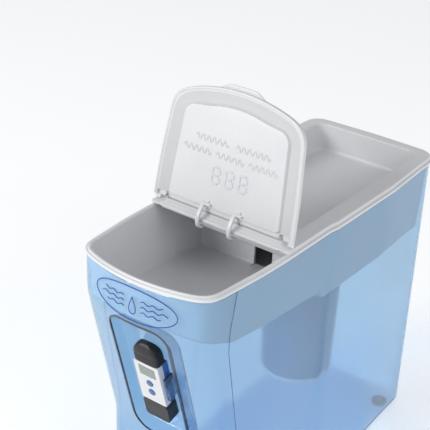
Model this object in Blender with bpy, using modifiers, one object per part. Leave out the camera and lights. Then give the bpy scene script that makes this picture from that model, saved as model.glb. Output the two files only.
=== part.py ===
"""Slim countertop water dispenser with an inner filter reservoir, a hinged filling flap,
a push tap and a water tester kept in a niche under the nose.

Metres, +Z up, front towards -Y. The origin is on the counter, midway along the dispenser.
Inside this file, lengths along the body are measured from the flap's hinge line ("behind
the hinge") and heights from the reservoir's rim ("above the rim").
"""
import math

import bmesh
import bpy
from mathutils import Matrix, Vector

# ---------------------------------------------------------------- driving dimensions
LENGTH = 0.3745
REAR_BEHIND_HINGE = 0.2365
HINGE_Y = LENGTH / 2 - REAR_BEHIND_HINGE
RIM_TOP = 0.264
GAP = 0.0003

HALF_WIDTH = 0.0675
REAR_HALF_WIDTH = 0.069
NOSE_REACH = 0.1055
NOSE_BOW_RADIUS = 0.147
NOSE_CORNER = (0.0618, -0.092)
NOSE_FILLET = 0.0196
REAR_FILLET = 0.015

TANK_OUTER_INSET = 0.001
TANK_WALL = 0.002
TANK_BOTTOM = 0.003 - RIM_TOP
TANK_FLOOR = 0.0028
TANK_TOP = -0.0047
BEND_HEIGHT = -0.037
SLOPE_ANGLE = math.radians(16.3)
SLOPE_END = -0.166
FOOT_RADIUS = 0.0075

RIM_HEIGHT = 0.0044
RESERVOIR_OUTER_INSET = 0.0034
RESERVOIR_WALL = 0.0016
RESERVOIR_DRAFT = 0.0041
BULKHEAD_Y = 0.057
BULKHEAD_TOP = -0.027

BAR_RADIUS = 0.005
BAR_ABOVE_RIM = 0.0027
COVER_INSET = 0.0012
COVER_TOP = 0.003
RECESS_HALF_WIDTH = 0.052
RECESS_FRONT = 0.027
RECESS_REAR = 0.224
RECESS_FLOOR = -0.023
COVER_WALL = 0.002

FLAP_OPEN = math.radians(100.9)
HOOK_PLACES = (-0.019, 0.011)
HOOK_WIDTH = 0.0056
HOOK_INNER = 0.0054
HOOK_OUTER = 0.0078

FILTER_Y = 0.127
FILTER_TOP_RADIUS = 0.0346
FILTER_TAPER = 0.003
FILTER_WALL = 0.0018
HOUSING_TOP = -0.0833
HOUSING_BOTTOM = -0.190

TAP_HEIGHT = -0.205
TAP_VALVE_Y = -0.108
LEVER_PIVOT_Y = -0.008
LEVER_PIVOT_Z = 0.025

NICHE_HALF_WIDTH = 0.0277
NICHE_DEPTH = 0.0155
NICHE_TOP = -0.0035
NICHE_BOTTOM = -0.132
NICHE_ROOF_FALL = 0.8
TESTER_HALF_WIDTH = 0.012
TESTER_FRONT = 0.0035
TESTER_BACK = 0.015

STEPS = 32
SMALL_STEPS = 20

# ---------------------------------------------------------------- scene and materials
for old in list(bpy.data.objects):
    bpy.data.objects.remove(old, do_unlink=True)

parts = bpy.data.collections.new("water_dispenser")
tools = bpy.data.collections.new("cutters")
bpy.context.scene.collection.children.link(parts)
bpy.context.scene.collection.children.link(tools)


def material(name, colour, roughness, metallic=0.0, alpha=1.0):
    made = bpy.data.materials.new(name)
    made.use_nodes = True
    shader = made.node_tree.nodes["Principled BSDF"]
    shader.inputs["Base Color"].default_value = (*colour, 1.0)
    shader.inputs["Roughness"].default_value = roughness
    shader.inputs["Metallic"].default_value = metallic
    shader.inputs["Alpha"].default_value = alpha
    made.diffuse_color = (*colour, alpha)
    return made


BLUE = material("tank_blue", (0.13, 0.36, 0.72), 0.12, alpha=0.45)
GREY = material("reservoir_grey", (0.52, 0.55, 0.58), 0.35)
WHITE = material("lid_white", (0.78, 0.79, 0.80), 0.35)
FILTER_BLUE = material("filter_blue", (0.05, 0.16, 0.42), 0.35)
FILTER_WHITE = material("filter_white", (0.80, 0.82, 0.84), 0.4)
PAD = material("filter_pad", (0.86, 0.86, 0.82), 0.95)
CARBON = material("carbon", (0.03, 0.03, 0.03), 0.9)
RESIN = material("resin", (0.55, 0.33, 0.10), 0.6)
SILICONE = material("silicone", (0.75, 0.78, 0.80), 0.6)
BLACK = material("tester_black", (0.02, 0.02, 0.022), 0.3)
TAP_BLUE = material("tap_blue", (0.05, 0.14, 0.38), 0.3)
STEEL = material("steel", (0.60, 0.60, 0.62), 0.3, 1.0)
RUBBER = material("rubber", (0.05, 0.05, 0.055), 0.8)
BOARD = material("board_green", (0.03, 0.22, 0.10), 0.5)
LENS = material("display_window", (0.25, 0.29, 0.27), 0.08)


# ---------------------------------------------------------------- modelling helpers
def at(behind, above=0.0, x=0.0):
    """World point from a distance behind the hinge line and a height above the rim."""
    return Vector((x, HINGE_Y + behind, RIM_TOP + above))


def new_object(name, mesh, finish=None, place=None):
    made = bpy.data.objects.new(name, mesh)
    if finish is None:
        tools.objects.link(made)
        made.hide_render = True
        made.display_type = "WIRE"
    else:
        parts.objects.link(made)
        mesh.materials.append(finish)
    if place is not None:
        made.matrix_world = place
    return made


def smooth(made, angle=35.0):
    made.data.shade_smooth()
    made.data.set_sharp_from_angle(angle=math.radians(angle))
    return made


def boolean(target, other, operation="DIFFERENCE"):
    step = target.modifiers.new(operation.lower(), "BOOLEAN")
    step.operation = operation
    step.object = other
    step.solver = "EXACT"


def cut(target, *others):
    for other in others:
        boolean(target, other)


def add(target, *others):
    for other in others:
        boolean(target, other, "UNION")


# Turns a drawing in X and Y, extruded along Z, so that it is drawn in other planes.
FLAT = Matrix.Identity(4)
SIDE_VIEW = Matrix(((0, 0, 1, 0), (1, 0, 0, 0), (0, 1, 0, 0), (0, 0, 0, 1)))
FRONT_VIEW = Matrix(((1, 0, 0, 0), (0, 0, -1, 0), (0, 1, 0, 0), (0, 0, 0, 1)))


def extruded(name, outline, low, high, view=FLAT, place=None, finish=None):
    """A flat outline extruded from low to high, as a mesh object."""
    curve = bpy.data.curves.new(name, "CURVE")
    curve.dimensions = "2D"
    curve.fill_mode = "BOTH"
    curve.extrude = (high - low) / 2
    spline = curve.splines.new("POLY")
    spline.points.add(len(outline) - 1)
    for point, (across, along) in zip(spline.points, outline):
        point.co = (across, along, 0.0, 1.0)
    spline.use_cyclic_u = True
    guide = bpy.data.objects.new(name + "_outline", curve)
    bpy.context.scene.collection.objects.link(guide)
    ready = guide.evaluated_get(bpy.context.evaluated_depsgraph_get())
    mesh = bpy.data.meshes.new_from_object(ready)
    bpy.data.objects.remove(guide)
    mesh.name = name
    mesh.transform(view @ Matrix.Translation((0, 0, (low + high) / 2)))
    work = bmesh.new()
    work.from_mesh(mesh)
    bmesh.ops.remove_doubles(work, verts=work.verts, dist=0.00001)
    bmesh.ops.recalc_face_normals(work, faces=work.faces)
    work.to_mesh(mesh)
    work.free()
    mesh.materials.clear()
    return new_object(name, mesh, finish, place)


def stacked(name, rings, place=None, finish=None):
    """A body through outlines of equal point count: rings is [(outline, height), ...], low to high."""
    work = bmesh.new()
    outline, height = rings[0]
    corners = [work.verts.new((x, y, height)) for x, y in outline]
    top = work.faces.new(corners)
    for level, (outline, height) in enumerate(rings[1:]):
        old = [vert.co.copy() for vert in corners]
        grown = bmesh.ops.extrude_face_region(work, geom=[top])["geom"]
        fresh = [item for item in grown if isinstance(item, bmesh.types.BMVert)]
        corners = [min(fresh, key=lambda vert: (vert.co - spot).length) for spot in old]
        for vert, (x, y) in zip(corners, outline):
            vert.co = (x, y, height)
        if level > 0:
            bmesh.ops.delete(work, geom=[top], context="FACES_ONLY")
        top = [item for item in grown if isinstance(item, bmesh.types.BMFace)][0]
    bmesh.ops.recalc_face_normals(work, faces=work.faces)
    mesh = bpy.data.meshes.new(name)
    work.to_mesh(mesh)
    work.free()
    return new_object(name, mesh, finish, place)


def box(name, low, high, place=None, finish=None):
    work = bmesh.new()
    bmesh.ops.create_cube(work, size=1.0)
    size = [b - a for a, b in zip(low, high)]
    centre = [(a + b) / 2 for a, b in zip(low, high)]
    bmesh.ops.scale(work, vec=size, verts=work.verts)
    bmesh.ops.translate(work, vec=centre, verts=work.verts)
    mesh = bpy.data.meshes.new(name)
    work.to_mesh(mesh)
    work.free()
    return new_object(name, mesh, finish, place)


def rod(name, radius, start, end, place=None, finish=None, steps=SMALL_STEPS, end_radius=None):
    """A cylinder or cone between two points."""
    start = Vector(start)
    end = Vector(end)
    span = end - start
    work = bmesh.new()
    bmesh.ops.create_cone(
        work,
        cap_ends=True,
        segments=steps,
        radius1=radius,
        radius2=radius if end_radius is None else end_radius,
        depth=span.length,
    )
    turn = span.to_track_quat("Z", "Y").to_matrix().to_4x4()
    work.transform(Matrix.Translation((start + end) / 2) @ turn)
    mesh = bpy.data.meshes.new(name)
    work.to_mesh(mesh)
    work.free()
    return new_object(name, mesh, finish, place)


def turned(name, profile, closed, place=None, finish=None, steps=STEPS):
    """A profile of (radius, height) turned about Z; it runs down its outer side."""
    mesh = bpy.data.meshes.new(name)
    edges = [(i, i + 1) for i in range(len(profile) - 1)]
    if closed:
        edges.append((len(profile) - 1, 0))
    mesh.from_pydata([(radius, 0.0, height) for radius, height in profile], edges, [])
    made = new_object(name, mesh, finish, place)
    screw = made.modifiers.new("turn", "SCREW")
    screw.steps = steps
    screw.render_steps = steps
    screw.use_merge_vertices = True
    screw.merge_threshold = 0.00001
    screw.use_smooth_shade = False
    return made


def fillet(corner, before, after, radius, steps=5):
    """Points of an arc that rounds a corner of an outline."""
    corner = Vector(corner)
    to_before = (Vector(before) - corner).normalized()
    to_after = (Vector(after) - corner).normalized()
    half = to_before.angle(to_after) / 2
    reach = radius / math.tan(half)
    centre = corner + (to_before + to_after).normalized() * (radius / math.sin(half))
    first = (corner + to_before * reach - centre).normalized()
    last = (corner + to_after * reach - centre).normalized()
    points = []
    for step in range(steps + 1):
        spot = centre + first.slerp(last, step / steps) * radius
        points.append((spot.x, spot.y))
    return points


def rounded(corners, steps=5):
    """An outline from (x, y, radius) corners, each rounded where its radius isn't 0."""
    outline = []
    for i, (x, y, radius) in enumerate(corners):
        before = corners[i - 1][:2]
        after = corners[(i + 1) % len(corners)][:2]
        if radius:
            outline.extend(fillet((x, y), before, after, radius, steps))
        else:
            outline.append((x, y))
    return outline


def inset(outline, distance):
    """The outline moved inwards by a distance; it runs anticlockwise."""
    moved = []
    for i, here in enumerate(outline):
        here = Vector(here)
        before = (here - Vector(outline[i - 1])).normalized()
        after = (Vector(outline[(i + 1) % len(outline)]) - here).normalized()
        inward = Vector((-before.y - after.y, before.x + after.x)).normalized()
        lean = max(0.3, inward.dot(Vector((-before.y, before.x))))
        spot = here + inward * (distance / lean)
        moved.append((spot.x, spot.y))
    return moved


def rectangle(half_width, low, high, radius, steps=4):
    return rounded(
        [
            (-half_width, low, radius),
            (half_width, low, radius),
            (half_width, high, radius),
            (-half_width, high, radius),
        ],
        steps,
    )


def trapezium(front, rear):
    """A symmetric outline from its front and rear corners, each (half width, y, radius)."""
    return rounded([(-front[0], *front[1:]), front, rear, (-rear[0], *rear[1:])])


# ---------------------------------------------------------------- the body's plan outline
def body_outline():
    """Outer edge of the rim, seen from above, anticlockwise; y is behind the hinge."""
    bow_centre = NOSE_BOW_RADIUS - NOSE_REACH
    right = []
    for x in (0.016, 0.032, 0.047):
        right.append((x, bow_centre - math.sqrt(NOSE_BOW_RADIUS**2 - x**2), 0))
    right.append((*NOSE_CORNER, NOSE_FILLET))
    right += [
        (0.0664, -0.039, 0),
        (HALF_WIDTH, -0.010, 0),
        (HALF_WIDTH, 0.057, 0),
        (REAR_HALF_WIDTH, 0.061, 0),
        (REAR_HALF_WIDTH, 0.150, 0),
        (0.0656, 0.203, 0),
        (0.0648, 0.2345, REAR_FILLET),
    ]
    left = [(-x, y, radius) for x, y, radius in reversed(right)]
    corners = [(0.0, -NOSE_REACH, 0)] + right + [(0.0, REAR_BEHIND_HINGE, 0)] + left
    return rounded(corners)


OUTLINE = body_outline()


def body(distance, reach=1.0):
    """The body's outline inset by a distance, its nose drawn back to a share of its reach."""
    drawn_back = [(x, y * reach if y < 0 else y) for x, y in OUTLINE]
    return inset(drawn_back, distance)


BODY = Matrix.Translation(at(0.0))
LOW_REACH = 1 - (BEND_HEIGHT - SLOPE_END) * math.tan(SLOPE_ANGLE) / NOSE_REACH
FRONT_WALL = -NOSE_REACH * LOW_REACH + 0.002
BOSS_RADIUS = 0.0155
BOSS_FRONT = FRONT_WALL - 0.0015
BOSS_BACK = FRONT_WALL + 0.0035

# The niche and the tester are drawn on the nose's sloping face: across, inwards, up the slope.
SLOPE = BODY @ Matrix.Translation((0, -NOSE_REACH, BEND_HEIGHT)) @ Matrix.Rotation(SLOPE_ANGLE, 4, "X")


# ---------------------------------------------------------------- tank, feet and reservoir
def niche_shape(name, grow):
    """The tester's niche, or with grow the wall around it."""
    half = NICHE_HALF_WIDTH + grow
    arch = rectangle(half, NICHE_BOTTOM - grow, NICHE_TOP + grow, 0.017 + grow, 5)
    shape = extruded(name, arch, -NICHE_DEPTH - grow, 0.02, FRONT_VIEW, SLOPE)
    top = NICHE_TOP + grow
    reach = 0.03
    roof_end = top - reach * NICHE_ROOF_FALL
    side = [(-reach, top), (-reach, -0.16), (reach, -0.16), (reach, roof_end), (0.0, top)]
    boolean(shape, extruded(name + "_side", side, -0.05, 0.05, SIDE_VIEW, SLOPE), "INTERSECT")
    return shape


def build_tank():
    rings = [
        (body(0.0026, LOW_REACH), TANK_BOTTOM),
        (body(0.0020, LOW_REACH), SLOPE_END),
        (body(0.00115), BEND_HEIGHT),
        (body(TANK_OUTER_INSET), TANK_TOP),
    ]
    tank = stacked("tank", rings, BODY, BLUE)
    boss_end = FRONT_WALL + 0.001
    boss = rod("tap_boss", BOSS_RADIUS, (0, BOSS_FRONT, TAP_HEIGHT), (0, boss_end, TAP_HEIGHT), BODY)
    hollow_rings = [
        (body(0.0046, LOW_REACH), TANK_BOTTOM + TANK_FLOOR),
        (body(0.0040, LOW_REACH), SLOPE_END),
        (body(0.00315), BEND_HEIGHT),
        (body(TANK_OUTER_INSET + TANK_WALL), TANK_TOP),
        (body(TANK_OUTER_INSET + TANK_WALL), 0.01),
    ]
    hollow = stacked("tank_hollow", hollow_rings, BODY)
    cut(hollow, niche_shape("niche_wall", 0.0024))
    cut(hollow, rod("boss_keep", BOSS_RADIUS, (0, -0.1, TAP_HEIGHT), (0, BOSS_BACK, TAP_HEIGHT), BODY))
    cut(tank, hollow)
    add(tank, boss)
    cut(tank, niche_shape("niche", 0.0))
    cut(tank, rod("tap_hole", 0.0084, (0, -0.1, TAP_HEIGHT), (0, -0.05, TAP_HEIGHT), BODY))
    for side in (-1, 1):
        low, high = sorted((side * (TESTER_HALF_WIDTH + 0.0004), side * (TESTER_HALF_WIDTH + 0.0024)))
        finger = box(f"cradle_{side}", (low, 0.006, -0.085), (high, NICHE_DEPTH + 0.001, -0.062), SLOPE)
        add(tank, finger)
    return smooth(tank)


def build_feet():
    for end, y in (("front", -0.048), ("rear", 0.212)):
        for side, x in (("left", -0.048), ("right", 0.048)):
            place = Matrix.Translation((x, HINGE_Y + y, 0))
            foot = rod(f"foot_{end}_{side}", FOOT_RADIUS, (0, 0, 0), (0, 0, 0.0027), place, RUBBER)
            smooth(foot)


def build_reservoir():
    rings = [
        (body(RESERVOIR_OUTER_INSET + RESERVOIR_DRAFT), -0.068),
        (body(RESERVOIR_OUTER_INSET), -RIM_HEIGHT + 0.0002),
    ]
    reservoir = stacked("reservoir", rings, BODY, GREY)
    underside = [
        (-0.12, 0.01),
        (-0.12, -0.030),
        (-0.10, -0.036),
        (-0.06, -0.0525),
        (0.032, -0.059),
        (0.057, -0.062),
        (0.0605, -0.068),
        (0.25, -0.068),
        (0.25, 0.01),
    ]
    below = extruded("reservoir_underside", underside, -0.08, 0.08, SIDE_VIEW, BODY)
    boolean(reservoir, below, "INTERSECT")
    add(reservoir, extruded("rim", body(0.0), -RIM_HEIGHT, 0.0, FLAT, BODY))
    add(reservoir, rod("collar", 0.0315, (0, FILTER_Y, -0.076), (0, FILTER_Y, -0.067), BODY, steps=STEPS))
    cavity_rings = [
        (body(RESERVOIR_OUTER_INSET + RESERVOIR_WALL + RESERVOIR_DRAFT * 1.2), -0.080),
        (body(RESERVOIR_OUTER_INSET + RESERVOIR_WALL), 0.0),
        (body(RESERVOIR_OUTER_INSET + RESERVOIR_WALL), 0.01),
    ]
    basin_side = [
        (-0.12, 0.02),
        (-0.12, -0.026),
        (-0.098, -0.0345),
        (-0.060, -0.0505),
        (0.032, -0.057),
        (BULKHEAD_Y, -0.060),
        (BULKHEAD_Y, BULKHEAD_TOP),
        (0.0595, BULKHEAD_TOP),
        (0.0595, 0.02),
    ]
    chamber_side = [(0.059, 0.02), (0.059, -0.062), (0.0625, -0.066), (0.25, -0.066), (0.25, 0.02)]
    for name, side in (("basin", basin_side), ("chamber", chamber_side)):
        cavity = stacked(name + "_cavity", cavity_rings, BODY)
        boolean(cavity, extruded(name + "_side", side, -0.08, 0.08, SIDE_VIEW, BODY), "INTERSECT")
        cut(reservoir, cavity)
    cut(reservoir, box("doorway", (-0.005, 0.055, -0.0600), (0.013, 0.062, -0.035), BODY))
    cut(reservoir, rod("socket", 0.029, (0, FILTER_Y, -0.09), (0, FILTER_Y, -0.05), BODY, steps=STEPS))
    return smooth(reservoir)


# ---------------------------------------------------------------- lid
def build_rear_cover():
    cover = extruded("rear_cover", body(COVER_INSET), GAP, COVER_TOP, FLAT, BODY, WHITE)
    cut(cover, box("cover_front", (-0.08, -0.12, -0.01), (0.08, 0.002, 0.02), BODY))
    tray = extruded(
        "tray",
        rectangle(RECESS_HALF_WIDTH + COVER_WALL, RECESS_FRONT - COVER_WALL, RECESS_REAR + COVER_WALL, 0.011),
        RECESS_FLOOR - COVER_WALL,
        COVER_TOP - 0.0005,
        FLAT,
        BODY,
    )
    add(cover, tray)
    lip = extruded("locating_lip", body(0.0056), -0.004, 0.001, FLAT, BODY)
    cut(lip, extruded("lip_inside", body(0.0072), -0.01, 0.01, FLAT, BODY))
    cut(lip, box("lip_front", (-0.08, -0.12, -0.01), (0.08, 0.012, 0.01), BODY))
    add(cover, lip)
    recess = rectangle(RECESS_HALF_WIDTH, RECESS_FRONT, RECESS_REAR, 0.010)
    cut(cover, extruded("recess", recess, RECESS_FLOOR, 0.02, FLAT, BODY))
    for x in HOOK_PLACES:
        half = HOOK_WIDTH / 2 + 0.0006
        cut(cover, box("hook_slot", (x - half, 0.0, -0.01), (x + half, 0.0085, 0.02), BODY))
    for side in (-1, 1):
        low, high = sorted((side * 0.056, side * 0.0662))
        add(cover, box("shoulder", (low, -0.0043, GAP), (high, 0.010, 0.0066), BODY))
    bar = rod("hinge_bar", BAR_RADIUS, (-0.0615, 0, BAR_ABOVE_RIM), (0.0615, 0, BAR_ABOVE_RIM), BODY)
    add(cover, bar)
    return smooth(cover)


def hook_outline():
    """The C of a hook around the bar, flap closed: from the flap's edge under the bar to behind it."""
    start = math.radians(158)
    end = math.radians(363)
    steps = 14
    angles = [start + (end - start) * step / steps for step in range(steps + 1)]
    outer = [(HOOK_OUTER * math.cos(angle), HOOK_OUTER * math.sin(angle)) for angle in angles]
    inner = [(HOOK_INNER * math.cos(angle), HOOK_INNER * math.sin(angle)) for angle in reversed(angles)]
    return outer + inner


def build_fill_flap():
    """Drawn closed around the hinge axis, then swung open about it."""
    hinge = Matrix.Translation(at(0.0, BAR_ABOVE_RIM)) @ Matrix.Rotation(-FLAP_OPEN, 4, "X")
    lip_low = 0.0004 - BAR_ABOVE_RIM
    skin_low = 0.0008
    skin_high = 0.0026
    rear_edge = -0.0067
    flap = extruded("fill_flap", body(0.0005), lip_low, skin_high, FLAT, hinge, WHITE)
    cut(flap, box("flap_rear", (-0.08, rear_edge, -0.02), (0.08, 0.25, 0.02), hinge))
    inside = extruded("flap_inside", body(0.0021), -0.02, skin_low, FLAT, hinge)
    cut(inside, box("inside_rear", (-0.08, rear_edge - 0.0016, -0.03), (0.08, 0.25, 0.03), hinge))
    cut(flap, inside)
    pad = trapezium((0.046, -0.086, 0.008), (0.052, -0.017, 0.004))
    add(flap, extruded("pad", pad, skin_low - 0.0022, skin_high - 0.0002, FLAT, hinge))
    cut(flap, extruded("dish", inset(pad, 0.0016), skin_high - 0.0024, 0.02, FLAT, hinge))
    tab = trapezium((0.023, -0.1085, 0.006), (0.026, -0.098, 0))
    add(flap, extruded("thumb_tab", tab, skin_low + 0.0002, skin_high - 0.0002, FLAT, hinge))
    for x in HOOK_PLACES:
        low = x - HOOK_WIDTH / 2
        add(flap, extruded("hook", hook_outline(), low, low + HOOK_WIDTH, SIDE_VIEW, hinge))
    return smooth(flap)


# ---------------------------------------------------------------- filter
FILTER = BODY @ Matrix.Translation((0, FILTER_Y, 0))


def housing_radius(height, outer=True):
    drop = (HOUSING_TOP - height) / (HOUSING_TOP - HOUSING_BOTTOM)
    radius = FILTER_TOP_RADIUS - FILTER_TAPER * drop
    return radius if outer else radius - FILTER_WALL


def filter_layer(name, top, bottom, finish):
    """A layer of the filter's filling, as wide as the tapered housing lets it be."""
    low_radius = housing_radius(bottom, outer=False) - GAP
    high_radius = housing_radius(top, outer=False) - GAP
    smooth(rod(name, low_radius, (0, 0, bottom), (0, 0, top), FILTER, finish, STEPS, high_radius))


def build_filter():
    smooth(
        turned(
            "filter_housing",
            [
                (FILTER_TOP_RADIUS, HOUSING_TOP),
                (housing_radius(HOUSING_BOTTOM), HOUSING_BOTTOM),
                (housing_radius(HOUSING_BOTTOM, False), HOUSING_BOTTOM),
                (housing_radius(HOUSING_TOP, False), HOUSING_TOP),
            ],
            True,
            FILTER,
            FILTER_BLUE,
        )
    )
    neck = 0.0284
    cap = turned(
        "filter_inlet_cap",
        [
            (0.0, -0.056),
            (neck, -0.056),
            (neck, -0.0793),
            (FILTER_TOP_RADIUS, -0.0793),
            (FILTER_TOP_RADIUS, HOUSING_TOP + GAP),
            (0.0264, HOUSING_TOP + GAP),
            (0.0264, -0.058),
            (0.0, -0.058),
        ],
        False,
        FILTER,
        FILTER_WHITE,
    )
    add(cap, box("filter_handle", (-0.022, -0.0025, -0.0565), (0.022, 0.0025, -0.049), FILTER))
    for step in range(6):
        spin = FILTER @ Matrix.Rotation(math.radians(30 + 60 * step), 4, "Z")
        cut(cap, box("inlet_slot", (0.011, -0.0018, -0.07), (0.023, 0.0018, -0.05), spin))
    smooth(cap)
    base_radius = housing_radius(HOUSING_BOTTOM)
    base_top = HOUSING_BOTTOM - GAP
    base = rod("filter_base", base_radius, (0, 0, -0.194), (0, 0, base_top), FILTER, FILTER_WHITE, STEPS)
    for step in range(6):
        spin = FILTER @ Matrix.Rotation(math.radians(60 * step), 4, "Z")
        cut(base, box("outlet_slot", (0.008, -0.0015, -0.2), (0.022, 0.0015, -0.18), spin))
    smooth(base)
    smooth(rod("filter_coarse_pad", 0.0260, (0, 0, -0.0645), (0, 0, -0.0583), FILTER, PAD, STEPS))
    filter_layer("filter_foam_disc", -0.0840, -0.0900, PAD)
    filter_layer("filter_carbon_bed", -0.0903, -0.1180, CARBON)
    filter_layer("filter_resin_bed", -0.1183, -0.1830, RESIN)
    filter_layer("filter_fine_pad", -0.1833, -0.1895, PAD)
    seal = [(0.0338, -0.0763), (0.0338, -0.0790), (0.0291, -0.0790), (0.0291, -0.0763)]
    smooth(turned("filter_seal", seal, True, FILTER, SILICONE))


# ---------------------------------------------------------------- tap
TAP = BODY @ Matrix.Translation((0, TAP_VALVE_Y, TAP_HEIGHT))
WALL_FRONT = BOSS_FRONT - TAP_VALVE_Y
WALL_BACK = BOSS_BACK - TAP_VALVE_Y
WASHER = 0.0012


def ring_on_shank(name, radius, start, thickness, finish, steps):
    """A washer or nut around the tap's shank, which runs along Y."""
    ring = rod(name, radius, (0, start, 0), (0, start + thickness, 0), TAP, finish, steps)
    cut(ring, rod(name + "_bore", 0.0084, (0, start - 0.01, 0), (0, start + thickness + 0.01, 0), TAP))
    return smooth(ring, 25)


def build_tap_body():
    flange_back = WALL_FRONT - WASHER - 2 * GAP
    shank_end = WALL_BACK + 0.0145
    tap = rod("tap_body", 0.011, (0, 0, -0.016), (0, 0, 0.015), TAP, TAP_BLUE, 24)
    add(tap, rod("barrel", 0.0095, (0, 0.002, 0), (0, flange_back - 0.001, 0), TAP))
    add(tap, rod("flange", 0.013, (0, flange_back - 0.003, 0), (0, flange_back, 0), TAP, steps=24))
    add(tap, rod("shank", 0.008, (0, flange_back - 0.001, 0), (0, shank_end, 0), TAP))
    add(tap, rod("spout", 0.0065, (0, 0, -0.028), (0, 0, -0.015), TAP, end_radius=0.0075))
    cut(tap, rod("chamber_bore", 0.0085, (0, 0, -0.012), (0, 0, 0.03), TAP, steps=24))
    cut(tap, rod("spout_bore", 0.0048, (0, 0, -0.04), (0, 0, -0.011), TAP))
    cut(tap, rod("shank_bore", 0.0055, (0, 0, 0), (0, 0.08, 0), TAP))
    smooth(tap)


def build_tap_bonnet():
    bonnet = rod("tap_bonnet", 0.012, (0, 0, 0.0153), (0, 0, 0.019), TAP, WHITE, 24)
    for side in (-1, 1):
        low, high = sorted((side * 0.0056, side * 0.0082))
        ear_low = (low, LEVER_PIVOT_Y - 0.003, 0.018)
        ear_high = (high, LEVER_PIVOT_Y + 0.003, 0.0282)
        add(bonnet, box("ear", ear_low, ear_high, TAP))
    cut(bonnet, rod("stem_hole", 0.0027, (0, 0, 0), (0, 0, 0.03), TAP))
    pivot = (LEVER_PIVOT_Y, LEVER_PIVOT_Z)
    cut(bonnet, rod("ear_holes", 0.0018, (-0.02, *pivot), (0.02, *pivot), TAP))
    smooth(bonnet)


def build_tap_lever():
    """The lever turns about its pin, which is its origin: paddle in front, two tines behind."""
    pivot = TAP @ Matrix.Translation((0, LEVER_PIVOT_Y, LEVER_PIVOT_Z))
    lever = rod("tap_lever", 0.0031, (-0.0052, 0, 0), (0.0052, 0, 0), pivot, TAP_BLUE)
    for side in (-1, 1):
        low, high = sorted((side * 0.0028, side * 0.0049))
        add(lever, box("tine", (low, 0.0, -0.0017), (high, 0.0092, -0.0001), pivot))
    add(lever, box("arm", (-0.0046, -0.0110, -0.0006), (0.0046, 0.0, 0.0014), pivot))
    paddle = [
        (-0.0075, 0.0024),
        (-0.0145, 0.0018),
        (-0.0220, -0.0012),
        (-0.0212, -0.0036),
        (-0.0140, -0.0010),
        (-0.0075, -0.0010),
    ]
    add(lever, extruded("paddle", paddle, -0.009, 0.009, SIDE_VIEW, pivot))
    cut(lever, rod("lever_bore", 0.0018, (-0.02, 0, 0), (0.02, 0, 0), pivot))
    smooth(lever)
    pin = rod("tap_pivot_pin", 0.0015, (-0.0082, 0, 0), (0.0082, 0, 0), pivot, STEEL, 16)
    smooth(pin)


def build_tap_valve():
    stem = [
        (0.0, 0.0285),
        (0.0036, 0.0285),
        (0.0036, 0.0259),
        (0.0022, 0.0259),
        (0.0022, -0.0037),
        (0.0045, -0.0037),
        (0.0045, -0.0055),
        (0.0, -0.0055),
    ]
    smooth(turned("tap_stem", stem, False, TAP, WHITE, SMALL_STEPS))
    seal = [(0.0, -0.0058), (0.0068, -0.0058), (0.0072, -0.0117), (0.0, -0.0117)]
    smooth(turned("tap_valve_seal", seal, False, TAP, SILICONE, SMALL_STEPS))


def build_tap_spring():
    """A compression spring between the stem's collar and the bonnet."""
    turns = 5
    per_turn = 12
    wire = 0.0004
    low = -0.0034 + wire
    high = 0.0150 - wire
    curve = bpy.data.curves.new("tap_spring", "CURVE")
    curve.dimensions = "3D"
    curve.bevel_depth = wire
    curve.bevel_resolution = 1
    curve.use_fill_caps = True
    spline = curve.splines.new("POLY")
    count = turns * per_turn
    spline.points.add(count)
    for i, point in enumerate(spline.points):
        angle = 2 * math.pi * i / per_turn
        height = low + (high - low) * i / count
        point.co = (0.0052 * math.cos(angle), 0.0052 * math.sin(angle), height, 1.0)
    spring = bpy.data.objects.new("tap_spring", curve)
    parts.objects.link(spring)
    curve.materials.append(STEEL)
    spring.matrix_world = TAP


def build_tap():
    build_tap_body()
    build_tap_bonnet()
    build_tap_lever()
    build_tap_valve()
    build_tap_spring()
    ring_on_shank("tap_outer_washer", 0.0125, WALL_FRONT - GAP - WASHER, WASHER, RUBBER, 24)
    ring_on_shank("tap_inner_washer", 0.0125, WALL_BACK + GAP, WASHER, RUBBER, 24)
    ring_on_shank("tap_nut", 0.0135, WALL_BACK + WASHER + 2 * GAP, 0.006, WHITE, 6)


# ---------------------------------------------------------------- water tester
def bullet_outline(low, high, half, top_radius):
    """Straight sides that draw in to a round top."""
    points = [(-half, low), (half, low), (half, high - 0.016)]
    for step in range(9):
        angle = math.radians(15 + 150 * step / 8)
        points.append((top_radius * math.cos(angle), high - top_radius + top_radius * math.sin(angle)))
    points.append((-half, high - 0.016))
    return points


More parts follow.
